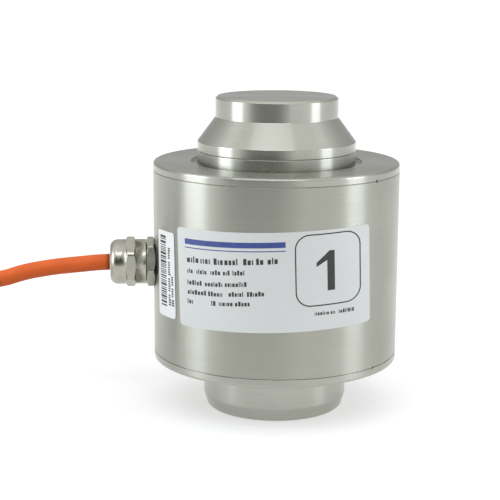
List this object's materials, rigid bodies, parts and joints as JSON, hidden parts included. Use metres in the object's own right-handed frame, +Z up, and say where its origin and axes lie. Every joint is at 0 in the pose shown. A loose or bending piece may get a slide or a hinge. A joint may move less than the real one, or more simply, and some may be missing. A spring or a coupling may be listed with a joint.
{
  "type": "column load cell",
  "caption": "Column compression load cell in turned stainless steel, with a load button, a load pin, a sealed round housing, a side cable gland and a coiled orange lead.",
  "frame": {"origin": "centre of the lower end face, which the load cell stands on", "axes": "+Z up along the column towards the load button, the cable gland points along -X, the rating label faces -Y"},
  "size_m": [0.3078, 0.1263, 0.13],
  "materials": {
    "column_steel": "turned",
    "housing_steel": "fine turned",
    "upper_lid_steel": "fine turned",
    "lower_lid_steel": "fine turned",
    "rating_label_film": "satin film",
    "code_label_film": "satin film",
    "gauge_foil": "polyimide film with foil grid",
    "ribbon_film": "polyimide film",
    "board_laminate": "solder mask",
    "screw_steel": "zinc plated",
    "resistor_ceramic": "glazed",
    "pin_brass": "plated",
    "core_red_insulation": "smooth",
    "core_black_insulation": "smooth",
    "core_green_insulation": "smooth",
    "core_white_insulation": "smooth",
    "gland_body_nickel": "nickel plated",
    "gland_ring_rubber": "moulded",
    "gland_claw_nylon": "moulded",
    "gland_seal_rubber": "moulded",
    "gland_nut_nickel": "nickel plated",
    "cable_jacket": "satin",
    "tie_fabric": "woven",
    "lead_insulation": "smooth"
  },
  "bodies": {
    "root": {"sensing_column": "column_steel", "housing_tube": "housing_steel", "upper_lid": "upper_lid_steel", "lower_lid": "lower_lid_steel", "rating_label": "rating_label_film", "code_label": "code_label_film", "gauge_front": "gauge_foil", "gauge_right": "gauge_foil", "gauge_back": "gauge_foil", "gauge_left": "gauge_foil", "ribbon_front": "ribbon_film", "ribbon_right": "ribbon_film", "ribbon_back": "ribbon_film", "ribbon_left": "ribbon_film", "circuit_board": "board_laminate", "board_screws": "screw_steel", "trim_resistors": "resistor_ceramic", "solder_pins": "pin_brass", "core_red": "core_red_insulation", "core_black": "core_black_insulation", "core_green": "core_green_insulation", "core_white": "core_white_insulation", "gland_body": "gland_body_nickel", "gland_ring": "gland_ring_rubber", "gland_claw": "gland_claw_nylon", "gland_seal": "gland_seal_rubber", "gland_nut": "gland_nut_nickel", "cable_inlet": "cable_jacket", "cable": "cable_jacket", "cable_coil": "cable_jacket", "coil_ties": "tie_fabric", "flying_leads": "lead_insulation"}
  },
  "joints": []
}
